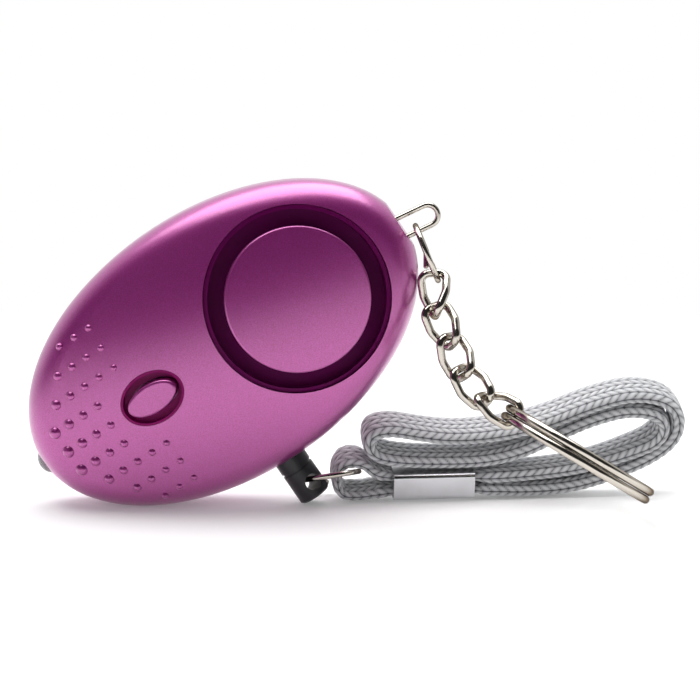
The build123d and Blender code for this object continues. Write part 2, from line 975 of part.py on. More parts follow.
def pin_ring_frame():
    """The frame of the ring through the pin: x away from the hole, y to the back."""
    droop = radians(pin_ring_droop_angle)
    axis = stood_direction(pin_hole_direction())
    outward = stood_direction((0, -1, 0))
    sideways = axis.cross(outward)
    away = sideways * cos(droop) + outward * sin(droop)
    radius = (small_ring_diameter - small_ring_wire) / 2
    centre = stood((pin_offset, pin_hole_level, 0)) + away * (radius - pin_ring_seat)
    return Plane(origin=centre, x_dir=away, z_dir=away.cross(axis * -1))


def strap_frame():
    """The strap's upright plane: x along the table, y up, with x = 0 at the crimp's left end."""
    yaw = radians(strap_yaw_angle)
    along = Vector(cos(yaw), sin(yaw), 0)
    ring = pin_ring_frame().origin
    eye = Vector(ring.X + strap_eye_from_ring[0], ring.Y + strap_eye_from_ring[1], 0)
    return Plane(origin=eye + along * strap_eye_reach, x_dir=along, z_dir=along.cross(Vector(0, 0, 1)))


def strap_radii():
    """The bend radius at each inner point of the strap's route."""
    radii = []
    for before, here, after in zip(strap_route, strap_route[1:], strap_route[2:]):
        first = Vector(here[0] - before[0], here[1] - before[1])
        second = Vector(after[0] - here[0], after[1] - here[1])
        half_turn = radians(first.get_angle(second)) / 2
        radii.append(strap_bend_share * min(first.length, second.length) / tan(half_turn))
    return radii


def strap_band():
    """The strap's side outline: its middle line given the thickness on both sides."""
    middle = FilletPolyline(*strap_route, radius=strap_radii())
    half = strap_thickness / 2
    sides = []
    for side in (-half, half):
        edges = []
        for edge in middle.edges():
            points = []
            for share in (0, 1 / 2, 1):
                tangent = edge % share
                points.append(edge @ share + Vector(-tangent.Y, tangent.X) * side)
            if edge.geom_type == GeomType.LINE:
                edges.append(Line(points[0], points[-1]))
            else:
                edges.append(ThreePointArc(*points))
        sides.append(edges)
    low, high = sides
    ends = [Line(low[-1] @ 1, high[-1] @ 1), Line(low[0] @ 0, high[0] @ 0)]
    return Face(Wire(low + high + ends)), middle.length


def strap_lean():
    """The strap's width direction in its own frame: to the front and a little down."""
    lean = radians(strap_lean_angle)
    return Vector(0, -sin(lean), cos(lean))


def wrist_strap():
    """The flat braid, its middle line swept sideways along the leaning width."""
    band, _ = strap_band()
    half = strap_width / 2
    lean = strap_lean()
    strap = extrude(band, amount=half, dir=lean) + extrude(band, amount=half, dir=lean * -1)
    return strap_frame().location * strap


def lanyard_crimp():
    """The sheet-metal sleeve that pinches both strands of the strap."""
    lean = radians(strap_lean_angle)
    stack = strand_high - strand_low + strap_thickness
    inner_height = stack * cos(lean) + 2 * crimp_gap
    inner_width = strap_width + stack * sin(lean) + 2 * crimp_gap
    outer = Box(crimp_length, inner_height + 2 * crimp_wall, inner_width + 2 * crimp_wall)
    outer = fillet(outer.edges().filter_by(Axis.X), radius=crimp_round)
    inner = Box(crimp_length + overrun, inner_height, inner_width)
    inner = fillet(inner.edges().filter_by(Axis.X), radius=crimp_round - crimp_wall)
    middle = (strand_low + strand_high) / 2
    sleeve = Pos(crimp_length / 2, middle, 0) * Rot(strap_lean_angle, 0, 0) * (outer - inner)
    return strap_frame().location * sleeve


def case_pieces():
    """The pieces drawn in the case frame, by node name."""
    return {
        "front_shell": front_shell(),
        "rear_shell": rear_shell(),
        "siren_grille": siren_grille(),
        "siren_disc": siren_disc(),
        "sounder_chamber": sounder_chamber(),
        "piezo_disc": piezo_disc(),
        "button_bezel": button_bezel(),
        "light_button": light_button(),
        "tact_switch": tact_switch(),
        "switch_plunger": switch_plunger(),
        "lamp": lamp(),
        "lamp_leads": lamp_leads(),
        "circuit_board": circuit_board(),
        "boost_coil": boost_coil(),
        "driver_chip": driver_chip(),
        "button_cells": button_cells(),
        "battery_tray": battery_tray(),
        "contact_strips": contact_strips(),
        "case_screws": case_screws(),
        "pin_socket": pin_socket(),
        "contact_leaves": contact_leaves(),
        "pull_pin": pull_pin(),
        "key_bail": bail_wire_solid(bail_wire / 2),
    }


def placed(location, shape):
    """A shape moved there, with each solid of a group moved by itself."""
    solids = shape.solids()
    if len(solids) == 1:
        return location * shape
    return Compound(children=[location * solid for solid in solids])


def all_pieces():
    """Every piece, standing on the table, by node name."""
    pieces = {}
    for name, shape in case_pieces().items():
        pieces[name] = placed(case_frame().location, shape)
    small_ring = split_ring(small_ring_diameter, small_ring_wire)
    pieces["bail_ring"] = bail_ring_frame().location * small_ring
    pieces["pin_ring"] = pin_ring_frame().location * small_ring
    for number, link in enumerate(chain_links(), 1):
        pieces[f"chain_link_{number}"] = link
    pieces["key_ring"] = key_ring_frame().location * split_ring(key_ring_diameter, key_ring_wire)
    pieces["wrist_strap"] = wrist_strap()
    pieces["lanyard_crimp"] = lanyard_crimp()
    return pieces


def origin_shift(pieces):
    """Moves the origin under the middle of everything but the soft lanyard."""
    low = Vector(case_length, case_length, case_length)
    high = low * -1
    for name, shape in pieces.items():
        if name in ("wrist_strap", "lanyard_crimp"):
            continue
        box = shape.bounding_box()
        low = Vector(min(low.X, box.min.X), min(low.Y, box.min.Y), min(low.Z, box.min.Z))
        high = Vector(max(high.X, box.max.X), max(high.Y, box.max.Y), max(high.Z, box.max.Z))
    return Vector(-(low.X + high.X) / 2, -(low.Y + high.Y) / 2, -low.Z)


os.makedirs("parts", exist_ok=True)
pieces = all_pieces()
shift = origin_shift(pieces)
for name, shape in pieces.items():
    export_step(placed(Pos(*shift), shape), f"parts/{name}.step")
print("strap length", round(strap_band()[1], 1))
print("strap bend radii", [round(radius, 2) for radius in strap_radii()])
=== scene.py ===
"""Studio scene of the personal safety alarm, standing on its edge with its chain and wrist strap.

Lengths are in metres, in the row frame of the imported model.
"""

from math import copysign, cos, pi, radians, sin

import bpy
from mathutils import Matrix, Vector

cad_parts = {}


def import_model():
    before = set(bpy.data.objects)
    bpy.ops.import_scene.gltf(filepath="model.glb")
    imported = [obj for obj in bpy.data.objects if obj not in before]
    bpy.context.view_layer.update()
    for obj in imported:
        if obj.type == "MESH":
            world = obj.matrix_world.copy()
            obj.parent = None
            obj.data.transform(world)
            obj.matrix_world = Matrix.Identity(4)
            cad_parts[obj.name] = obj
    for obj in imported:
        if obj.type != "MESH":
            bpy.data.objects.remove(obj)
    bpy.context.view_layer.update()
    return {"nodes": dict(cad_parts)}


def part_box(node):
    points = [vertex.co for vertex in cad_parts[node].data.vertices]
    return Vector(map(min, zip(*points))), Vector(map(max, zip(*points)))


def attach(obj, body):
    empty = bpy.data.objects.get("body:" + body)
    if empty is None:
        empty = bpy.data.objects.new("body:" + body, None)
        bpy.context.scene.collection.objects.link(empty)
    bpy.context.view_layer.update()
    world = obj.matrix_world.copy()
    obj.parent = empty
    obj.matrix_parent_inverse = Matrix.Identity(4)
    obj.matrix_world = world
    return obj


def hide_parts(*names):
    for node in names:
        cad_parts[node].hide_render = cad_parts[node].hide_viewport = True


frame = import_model()
nodes = frame["nodes"]
MM = 0.001

# The case's pose, and the lip that reaches from the rear shell past the parting plane
CASE_TILT = 34.0
CASE_CENTRE_HEIGHT = 24.975 * MM
LIP_HEIGHT = 1.0 * MM

# Grip domes on the narrow half of the front, in the rows that the shell has
DOME_ROW_PITCH = 3.43 * MM
DOME_COLUMN_PITCH = 2.70 * MM
DOME_FIRST_COLUMN = -27.65 * MM
DOME_DIAMETERS = (1.90 * MM, 1.62 * MM, 1.42 * MM, 1.28 * MM, 1.16 * MM, 1.08 * MM)
DOME_ROWS = ((3, 5), (2, 5), (1, 5), (0, 3), (0, 3), (0, 3), (1, 5), (2, 5), (3, 5))
# A dome's rise as a share of its width, and how far it reaches into the shell
DOME_RISE = 0.33
DOME_ROOT = 0.20 * MM
# Round each dome the shell is felt at this distance, from this far in front
DOME_CLEAR = 1.35 * MM
DOME_PROBE = 60 * MM
DOME_SEGMENTS = 28
DOME_RINGS = 18

# Edges that turn by more than this stay sharp
DOME_SMOOTH_ANGLE = 40
NODE_SMOOTH_ANGLE = 32

# The strap's solid: its section, its upright plane's lean and turn, and the crimp round it
STRAP_WIDTH = 5.4 * MM
STRAP_THICKNESS = 1.6 * MM
STRAP_LEAN = 10.0
STRAP_YAW = 6.0
CRIMP_LENGTH = 12.6 * MM

# The braided strap shown: full where it is free, and squeezed where it enters the crimp
SHOWN_WIDTH = 6.20 * MM
SHOWN_THICKNESS = 2.30 * MM
SQUEEZED_WIDTH = STRAP_WIDTH * 0.97
SQUEEZED_THICKNESS = STRAP_THICKNESS * 0.92
PINCH_LENGTH = 2.6 * MM
# Above this level the strap passes over the crimp and is free
CRIMP_TOP = 6.0 * MM
# The eye that the small ring passes through, at the strap's first points
EYE_END = -2.5 * MM
EYE_TOP = 9.0 * MM
EYE_POINTS = 200
EYE_THICKNESS = 1.75 * MM
# Between these levels the lean grows from the solid's to the upper runs' own
LOOP_LEAN = 18.0
LEAN_LOW = 4.5 * MM
LEAN_HIGH = 9.0 * MM

# The herringbone of the braid: columns on each flat side, and one more round each edge
BRAID_COLUMNS = 5
BRAID_CELLS = 2 * BRAID_COLUMNS + 2
BRAID_PITCH = 1.35 * MM
BRAID_DEPTH = 0.20 * MM
BRAID_SLANT = 1.05
# The share of its depth that the braid keeps in the crimp
BRAID_SQUEEZED = 0.35
# Powers under 1 that make strands and columns round, with narrow valleys
STRAND_POWER = 0.7
COLUMN_POWER = 0.45

# The strap's mesh: points round each ring, and the step from ring to ring
RING_POINTS = 84
RING_STEP = 0.26 * MM
# Powers under 1 that press the round section flat, and how finely it is first drawn
SIDE_POWER = 0.55
FACE_POWER = 0.75
OUTLINE_FINENESS = 40
# Points that the spline gives for each part of the route
ROUTE_FINENESS = 24

# The strap's middle line in its plane, in millimetres along from the crimp's left end and up
ROUTE = (
    (6.2, 3.85),
    (-2.0, 3.85),
    (-4.9, 7.10),
    (-8.65, 6.50),
    (-8.60, 1.60),
    (-4.8, 1.48),
    (-2.0, 1.95),
    (15.0, 1.95),
    (20.5, 1.62),
    (27.5, 1.90),
    (34.0, 3.55),
    (40.6, 6.20),
    (45.4, 10.40),
    (44.3, 15.30),
    (38.0, 16.80),
    (31.0, 15.10),
    (24.0, 12.30),
    (17.0, 10.80),
    (9.5, 10.30),
    (3.5, 11.20),
    (-0.4, 12.00),
    (-3.8, 11.30),
    (-3.4, 8.10),
    (0.6, 6.95),
    (7.5, 6.55),
    (14.5, 6.60),
    (20.3, 8.00),
    (26.0, 10.75),
    (31.5, 13.00),
    (37.4, 14.35),
    (42.7, 13.10),
    (42.5, 9.30),
    (36.6, 6.95),
    (29.5, 4.95),
    (22.0, 4.15),
    (15.0, 3.85),
    (6.4, 3.85),
)

# Finishes: how far tone and sheen stray, and the size of the patches and the grain
UNEVEN = 0.18
PATCH_SCALE = 260.0
PATCH_DETAIL = 4.0
GRAIN_SCALE = 4200.0
GRAIN_DEPTH = 3e-6
# The part of a noise that a tone or a sheen is spread over
NOISE_LOW = 0.30
NOISE_HIGH = 0.70
HAZE_LOW = 0.35
WHITE = (1.0, 1.0, 1.0, 1.0)

# The camera's view, as in the photograph: what it looks at is given from the case's middle
VIEW_TARGET = (19.347 * MM, 0.0, 24.015 * MM)
VIEW_ELEVATION = 10.0
VIEW_DISTANCE = 280.0 * MM
VIEW_NEAR = 0.01
VIEW_FAR = 20.0
# The lens's length in the picture's pixels, the picture's width, and the sensor's in millimetres
VIEW_PIXELS = 1845.2
IMAGE_PIXELS = 700
SENSOR = 36.0

# The table: shaded near the object, plain white further off, and a little lighter to the eye
FLOOR_SIZE = 6.0
FLOOR_SHADE = 0.90
FLOOR_NEAR = 0.10
FLOOR_FAR = 0.22
FLOOR_LIFT = 0.16

# The room's light by direction: dark towards the camera, white behind the object
ROOM_FRONT = -0.30
ROOM_BACK = 0.55
ROOM_DARK = 0.03
ROOM_LIGHT = 0.90

# Lamps: name, place from what they light, size, power, and whether glossy pieces mirror them
LIT_PLACE = (0.02, 0.0, 0.02)
LAMPS = (
    ("top", (-0.05, 0.10, 0.60), (0.80, 0.50), 5.0, True),
    ("front_left", (-0.45, -0.50, 0.30), (0.35, 0.50), 0.9, False),
    ("right", (0.55, -0.20, 0.25), (0.25, 0.45), 0.6, False),
)


def deselect_all():
    bpy.ops.object.select_all(action="DESELECT")


def select_only(piece):
    deselect_all()
    piece.select_set(True)
    bpy.context.view_layer.objects.active = piece


# Materials


def new_material(name):
    material = bpy.data.materials.new(name)
    material.use_nodes = True
    return material, material.node_tree.nodes["Principled BSDF"]


def set_values(shader, **values):
    for name, value in values.items():
        shader.inputs[name.replace("_", " ")].default_value = value


def link(material, output, target):
    material.node_tree.links.new(output, target)


def add_node(material, kind, **values):
    """A new node, with each value set on the socket or the setting of that name."""
    node = material.node_tree.nodes.new(kind)
    for name, value in values.items():
        if name in node.inputs:
            node.inputs[name].default_value = value
        else:
            setattr(node, name, value)
    return node


def object_noise(material, scale, detail=2.0):
    """Noise on the object's own coordinates."""
    place = add_node(material, "ShaderNodeTexCoord")
    noise = add_node(material, "ShaderNodeTexNoise", Scale=scale, Detail=detail)
    link(material, place.outputs["Object"], noise.inputs["Vector"])
    return noise


def ramp(material, source, *stops):
    """Colours by the value of a source: each stop is a value and its colour."""
    node = add_node(material, "ShaderNodeValToRGB")
    elements = node.color_ramp.elements
    while len(elements) < len(stops):
        elements.new(0.5)
    for element, (place, color) in zip(elements, stops):
        element.position = place
        element.color = (*color, 1.0)
    link(material, source, node.inputs["Fac"])
    return node.outputs["Color"]


def bump(material, shader, source, distance, strength=1.0):
    node = add_node(material, "ShaderNodeBump", Strength=strength, Distance=distance)
    link(material, source, node.inputs["Height"])
    link(material, node.outputs["Normal"], shader.inputs["Normal"])


def hazy_gloss(material, shader, scale, smooth, rough):
    """Roughness that strays between two values, in patches."""
    haze = object_noise(material, scale)
    stops = ((HAZE_LOW, (smooth,) * 3), (NOISE_HIGH, (rough,) * 3))
    gloss = ramp(material, haze.outputs["Fac"], *stops)
    link(material, gloss, shader.inputs["Roughness"])


def purple_paint():
    """Satin metallic lacquer with fine flake and a faint orange peel."""
    material, shader = new_material("purple_paint")
    flake = object_noise(material, scale=6500.0, detail=1.0)
    colors = ramp(
        material,
        flake.outputs["Fac"],
        (NOISE_LOW, (0.350, 0.010, 0.185)),
        (NOISE_HIGH, (0.470, 0.036, 0.352)),
    )
    link(material, colors, shader.inputs["Base Color"])
    peel = object_noise(material, scale=2600.0)
    bump(material, shader, peel.outputs["Fac"], distance=6e-6)
    set_values(shader, Metallic=0.65, Roughness=0.36)
    set_values(shader, Coat_Weight=1.0, Coat_Roughness=0.28, Coat_IOR=1.85)
    return material


def fine_surface():
    """The surface of moulded and plated pieces: slightly uneven tone and sheen, and fine grain."""
    group = bpy.data.node_groups.new("fine_surface", "ShaderNodeTree")
    sockets = (
        ("INPUT", "Light", "NodeSocketColor"),
        ("INPUT", "Dark", "NodeSocketColor"),
        ("INPUT", "Smooth", "NodeSocketFloat"),
        ("INPUT", "Rough", "NodeSocketFloat"),
        ("INPUT", "Patch Scale", "NodeSocketFloat"),
        ("INPUT", "Grain Scale", "NodeSocketFloat"),
        ("OUTPUT", "Color", "NodeSocketColor"),
        ("OUTPUT", "Roughness", "NodeSocketFloat"),
        ("OUTPUT", "Height", "NodeSocketFloat"),
    )
    for way, name, kind in sockets:
        group.interface.new_socket(name, in_out=way, socket_type=kind)
    start = group.nodes.new("NodeGroupInput")
    end = group.nodes.new("NodeGroupOutput")
    place = group.nodes.new("ShaderNodeTexCoord")
    patches = group.nodes.new("ShaderNodeTexNoise")
    patches.inputs["Detail"].default_value = PATCH_DETAIL
    grain = group.nodes.new("ShaderNodeTexNoise")
    tone = group.nodes.new("ShaderNodeMix")
    tone.data_type = "RGBA"
    sheen = group.nodes.new("ShaderNodeMapRange")
    sheen.inputs["From Min"].default_value = NOISE_LOW
    sheen.inputs["From Max"].default_value = NOISE_HIGH
    join = group.links.new
    join(start.outputs["Patch Scale"], patches.inputs["Scale"])
    join(start.outputs["Grain Scale"], grain.inputs["Scale"])
    join(place.outputs["Object"], patches.inputs["Vector"])
    join(place.outputs["Object"], grain.inputs["Vector"])
    join(patches.outputs["Fac"], tone.inputs["Factor"])
    join(start.outputs["Dark"], tone.inputs["A"])
    join(start.outputs["Light"], tone.inputs["B"])
    join(patches.outputs["Fac"], sheen.inputs["Value"])
    join(start.outputs["Smooth"], sheen.inputs["To Min"])
    join(start.outputs["Rough"], sheen.inputs["To Max"])
    join(tone.outputs["Result"], end.inputs["Color"])
    join(sheen.outputs["Result"], end.inputs["Roughness"])
    join(grain.outputs["Fac"], end.inputs["Height"])
    return group


SURFACE = fine_surface()


def plain(name, color, roughness, metallic=0.0, specular=0.5, grain=GRAIN_DEPTH):
    """A moulded or plated finish with the fine surface."""
    material, shader = new_material(name)
    surface = add_node(material, "ShaderNodeGroup", node_tree=SURFACE)
    values = {
        "Light": (*(part * (1 + UNEVEN) for part in color), 1),
        "Dark": (*(part * (1 - UNEVEN) for part in color), 1),
        "Smooth": roughness * (1 - UNEVEN),
        "Rough": roughness * (1 + UNEVEN),
        "Patch Scale": PATCH_SCALE,
        "Grain Scale": GRAIN_SCALE,
    }
    for socket, value in values.items():
        surface.inputs[socket].default_value = value
    link(material, surface.outputs["Color"], shader.inputs["Base Color"])
    link(material, surface.outputs["Roughness"], shader.inputs["Roughness"])
    bump(material, shader, surface.outputs["Height"], grain)
    set_values(shader, Metallic=metallic, Specular_IOR_Level=specular)
    return material


def nickel():
    """Nickel plate with faint wear in its sheen."""
    material, shader = new_material("nickel_plate")
    hazy_gloss(material, shader, scale=700.0, smooth=0.10, rough=0.24)
    set_values(shader, Base_Color=(0.58, 0.54, 0.48, 1), Metallic=1.0)
    # The dark edge tint is painted shade: it darkens the nickel's reflection towards the edges of
    # each piece.
    set_values(shader, Specular_Tint=(0.16, 0.13, 0.11, 1))
    return material


def clear_lamp():
    """The lamp's clear lens with a faint haze."""
    material, shader = new_material("clear_lamp")
    hazy_gloss(material, shader, scale=900.0, smooth=0.03, rough=0.12)
    set_values(shader, Base_Color=(0.95, 0.94, 0.97, 1), IOR=1.5)
    set_values(shader, Transmission_Weight=0.8)
    return material


def braid():
    """Grey yarn with a painted highlight on the strands and painted shade in the valleys between
    them.
    """
    material, shader = new_material("grey_braid")
    braid_shade = add_node(material, "ShaderNodeAttribute", attribute_name="braid_shade")
    # The braid's height picks the colour: painted shade in the valleys, painted highlight on the
    # strands.
    colors = ramp(
        material,
        braid_shade.outputs["Fac"],
        (0.05, (0.045, 0.046, 0.055)),
        (0.38, (0.41, 0.415, 0.435)),
        (1.0, (0.75, 0.755, 0.775)),
    )
    link(material, colors, shader.inputs["Base Color"])
    yarn = object_noise(material, scale=9000.0)
    bump(material, shader, yarn.outputs["Fac"], distance=6e-5, strength=0.5)
    set_values(shader, Roughness=0.72, Sheen_Weight=0.25, Sheen_Roughness=0.5)
    return material


def dress(material, *names):
    """Give the named nodes one finish."""
    for name in names:
        data = nodes[name].data
        data.materials.clear()
        data.materials.append(material)


def dress_nodes(paint):
    """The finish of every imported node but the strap, which the scene shows as its own piece."""
    dress(paint, "front_shell", "rear_shell", "siren_disc", "light_button")
    # The grille's dark plum is partly its own unpainted plastic and partly painted shade of the
    # groove round the siren.
    grille_plum_and_shade = plain("plum_plastic", (0.120, 0.001, 0.075), roughness=0.6, specular=0.12)
    dress(grille_plum_and_shade, "siren_grille")
    # The bezel's darker magenta is painted shade of the button's recess.
    bezel_painted_shade = plain("magenta_plastic", (0.23, 0.001, 0.105), roughness=0.5, specular=0.15)
    dress(bezel_painted_shade, "button_bezel")
    dress(plain("pin_plastic", (0.014, 0.014, 0.017), roughness=0.38, grain=8e-6), "pull_pin")
    dress(clear_lamp(), "lamp")
    links = [f"chain_link_{number}" for number in range(1, 6)]
    dress(nickel(), "key_bail", "bail_ring", "pin_ring", "key_ring", "contact_strips", *links)
    crimp = plain("crimp_steel", (0.62, 0.62, 0.64), roughness=0.24, metallic=1.0)
    dress(crimp, "lanyard_crimp")
    black = plain("black_plastic", (0.02, 0.02, 0.02), roughness=0.5)
    dress(black, "sounder_chamber", "tact_switch", "switch_plunger")
    dress(black, "driver_chip", "battery_tray", "pin_socket")
    steel = plain("cell_steel", (0.62, 0.62, 0.63), roughness=0.3, metallic=1.0)
    dress(steel, "button_cells", "case_screws", "lamp_leads")
    brass = plain("brass_sheet", (0.68, 0.50, 0.22), roughness=0.3, metallic=1.0)
    dress(brass, "piezo_disc", "contact_leaves")
    dress(plain("green_laminate", (0.01, 0.12, 0.04), roughness=0.35), "circuit_board")
    copper = plain("copper_winding", (0.60, 0.24, 0.09), roughness=0.35, metallic=1.0)
    dress(copper, "boost_coil")


def smooth_nodes():
    for node in nodes.values():
        select_only(node)
        bpy.ops.object.shade_smooth_by_angle(angle=radians(NODE_SMOOTH_ANGLE))
    deselect_all()


paint = purple_paint()
dress_nodes(paint)
smooth_nodes()

# The case's middle and the crimp's place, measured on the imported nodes
shell_low, shell_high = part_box("rear_shell")
case_middle = Vector(((shell_low.x + shell_high.x) / 2, shell_low.y + LIP_HEIGHT, 0.0))
crimp_low, crimp_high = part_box("lanyard_crimp")


# Grip domes


def shell_spot(along, across):
    """The front shell's surface at a place of the case: the mean of four points round it."""
    tilt = radians(CASE_TILT)
    long_way = Vector((cos(tilt), 0.0, sin(tilt)))
    cross_way = Vector((-sin(tilt), 0.0, cos(tilt)))
    inwards = Vector((0.0, 1.0, 0.0))
    centre = Vector((case_middle.x, shell_low.y - DOME_PROBE, CASE_CENTRE_HEIGHT))
    steps = ((DOME_CLEAR, 0.0), (-DOME_CLEAR, 0.0), (0.0, DOME_CLEAR), (0.0, -DOME_CLEAR))
    places = []
    normals = []
    for a, c in steps:
        start = centre + long_way * (along + a) + cross_way * (across + c)
        hit, place, normal, _ = nodes["front_shell"].ray_cast(start, inwards)
        if hit:
            places.append(place)
            normals.append(normal)
    return sum(places, Vector()) / len(places), sum(normals, Vector()).normalized()


def grip_dome(place, normal, width):
    """The cap of a ball, cut off just under the shell's surface."""
    rise = width * DOME_RISE
    radius = (width**2 / 4 + rise**2) / (2 * rise)
    deselect_all()
    bpy.ops.mesh.primitive_uv_sphere_add(
        segments=DOME_SEGMENTS,
        ring_count=DOME_RINGS,
        radius=radius,
        location=place + normal * (rise - radius),
    )
    dome = bpy.context.object
    bpy.ops.object.mode_set(mode="EDIT")
    bpy.ops.mesh.select_all(action="SELECT")
    bpy.ops.mesh.bisect(
        plane_co=place - normal * DOME_ROOT, plane_no=normal, use_fill=True, clear_inner=True
    )
    bpy.ops.object.mode_set(mode="OBJECT")
    return dome


def grip_domes():
    """Low round domes standing square on the shell, joined to one piece."""
    domes = []
    middle_row = (len(DOME_ROWS) - 1) / 2
    for row, (first, last) in enumerate(DOME_ROWS):
        across = (middle_row - row) * DOME_ROW_PITCH
        for column in range(first, last + 1):
            place, normal = shell_spot(DOME_FIRST_COLUMN + column * DOME_COLUMN_PITCH, across)
            domes.append(grip_dome(place, normal, DOME_DIAMETERS[column]))
    deselect_all()
    for dome in domes:
        dome.select_set(True)
    bpy.context.view_layer.objects.active = domes[0]
    bpy.ops.object.join()
    piece = bpy.context.object
    piece.name = "grip_domes"
    bpy.ops.object.transform_apply(location=True, rotation=True, scale=True)
    bpy.ops.object.shade_smooth_by_angle(angle=radians(DOME_SMOOTH_ANGLE))
    piece.data.materials.clear()
    piece.data.materials.append(paint)
    deselect_all()
    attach(piece, "case")


grip_domes()


# Wrist strap


def strap_plane():
    """The strap's plane: its origin at the crimp's left end, and its along, up and front ways."""
    yaw = radians(STRAP_YAW)
    along = Vector((cos(yaw), sin(yaw), 0.0))
    front = Vector((sin(yaw), -cos(yaw), 0.0))
    middle = (crimp_low + crimp_high) / 2
    origin = Vector((middle.x, middle.y, 0.0)) - along * CRIMP_LENGTH / 2
    return origin, along, Vector((0.0, 0.0, 1.0)), front


def strap_line():
    """The strap's middle line, read from a spline through its route."""
    origin, along, up, _ = strap_plane()
    curve = bpy.data.curves.new("strap_line", "CURVE")
    curve.dimensions = "3D"
    spline = curve.splines.new("NURBS")
    spline.points.add(len(ROUTE) - 1)
    for point, (s, h) in zip(spline.points, ROUTE):
        point.co = (*(origin + along * s * MM + up * h * MM), 1.0)
    spline.order_u = 3
    spline.use_endpoint_u = True
    spline.resolution_u = ROUTE_FINENESS
    holder = bpy.data.objects.new("strap_line", curve)
    bpy.context.scene.collection.objects.link(holder)
    bpy.context.view_layer.update()
    mesh = bpy.data.meshes.new_from_object(holder)
    points = [vertex.co.copy() for vertex in mesh.vertices]
    bpy.data.objects.remove(holder)
    bpy.data.meshes.remove(mesh)
    return points


def running_lengths(points):
    """How far along a line each of its points lies."""
    lengths = [0.0]
    for a, b in zip(points, points[1:]):
        lengths.append(lengths[-1] + (b - a).length)
    return lengths


def even_points(points, count):
    """The ends of a number of even steps along a line."""
    lengths = running_lengths(points)
    out = []
    place = 0
    for number in range(count + 1):
        target = lengths[-1] * number / count
        while place < len(points) - 2 and lengths[place + 1] < target:
            place += 1
        span = lengths[place + 1] - lengths[place]
        share = (target - lengths[place]) / span if span else 0.0
        out.append(points[place].lerp(points[place + 1], share))
    return out


def even_outline(count):
    """The strap's section, flat with full edges, as evenly spaced points of a unit outline."""
    fine = []
    for number in range(count * OUTLINE_FINENESS + 1):
        angle = 2 * pi * number / (count * OUTLINE_FINENESS)
        x = copysign(abs(cos(angle)) ** SIDE_POWER, cos(angle))
        y = copysign(abs(sin(angle)) ** FACE_POWER, sin(angle))
        fine.append(Vector((x * SHOWN_WIDTH, y * SHOWN_THICKNESS, 0.0)))
    points = even_points(fine, count)
    return [(point.x / SHOWN_WIDTH, point.y / SHOWN_THICKNESS) for point in points[:-1]]


def smooth_step(x):
    x = min(max(x, 0.0), 1.0)
    return x * x * (3 - 2 * x)


def braid_height(along, round_place, cell):
    """The herringbone: slanted ridges in columns, leaning the other way in each next column."""
    column = int(round_place / cell)
    inside = round_place / cell - column
    lean = inside if column % 2 == 0 else 1 - inside
    phase = (along + lean * cell * BRAID_SLANT) / BRAID_PITCH
    ridge = abs(sin(pi * phase))
    edge = abs(sin(pi * inside))
    return ridge**STRAND_POWER * edge**COLUMN_POWER


def strap_section(number, place, level):
    """The strap's width, thickness, lean and freedom: 0 in the crimp and 1 clear of it."""
    distance = max(-place, place - CRIMP_LENGTH, 0.0)
    if level > CRIMP_TOP:
        distance = PINCH_LENGTH
    free = smooth_step(distance / PINCH_LENGTH)
    width = SQUEEZED_WIDTH + (SHOWN_WIDTH - SQUEEZED_WIDTH) * free
    thick = SQUEEZED_THICKNESS + (SHOWN_THICKNESS - SQUEEZED_THICKNESS) * free
    if number < EYE_POINTS and place < EYE_END and level < EYE_TOP:
        thick = min(thick, EYE_THICKNESS)
    lift = smooth_step((level - LEAN_LOW) / (LEAN_HIGH - LEAN_LOW))
    lean = radians(STRAP_LEAN + (LOOP_LEAN - STRAP_LEAN) * lift * free)
    return width, thick, lean, free


def strap_surface(points, length):
    """The points of the braided surface, ring by ring, and the height of the braid at each, which
    sets its painted shade and highlight.
    """
    origin, along, up, front = strap_plane()
    ring = even_outline(RING_POINTS)
    last = len(points) - 1
    verts = []
    braid_shade = []
    for number, point in enumerate(points):
        tangent = (points[min(number + 1, last)] - points[max(number - 1, 0)]).normalized()
        normal = up * tangent.dot(along) - along * tangent.dot(up)
        place = (point - origin).dot(along)
        level = (point - origin).dot(up)
        width, thick, lean, free = strap_section(number, place, level)
        wide = front * cos(lean) - up * sin(lean)
        run = length * number / last
        sides = [(x * width / 2, y * thick / 2) for x, y in ring]
        walks = running_lengths([Vector(side) for side in (*sides, sides[0])])
        cell = walks[-1] / BRAID_CELLS
        fullness = BRAID_SQUEEZED + (1 - BRAID_SQUEEZED) * free
        for (x, y), walked in zip(sides, walks):
            height = braid_height(run, walked, cell)
            outward = Vector((x / (width / 2), y / (thick / 2))).normalized()
            depth = BRAID_DEPTH * (height - 1.0) * fullness
            across = x + outward.x * depth
            through = y + outward.y * depth
            verts.append(point + wide * across + normal * through)
            braid_shade.append(height)
    return verts, braid_shade


def tube_faces(rings, count):
    """Faces between the rings, and one that closes each end."""
    faces = []
    for number in range(rings - 1):
        for side in range(count):
            a = number * count + side
            b = number * count + (side + 1) % count
            faces.append((a, b, b + count, a + count))
    last_ring = (rings - 1) * count
    faces.append(tuple(range(count))[::-1])
    faces.append(tuple(range(last_ring, last_ring + count)))
    return faces


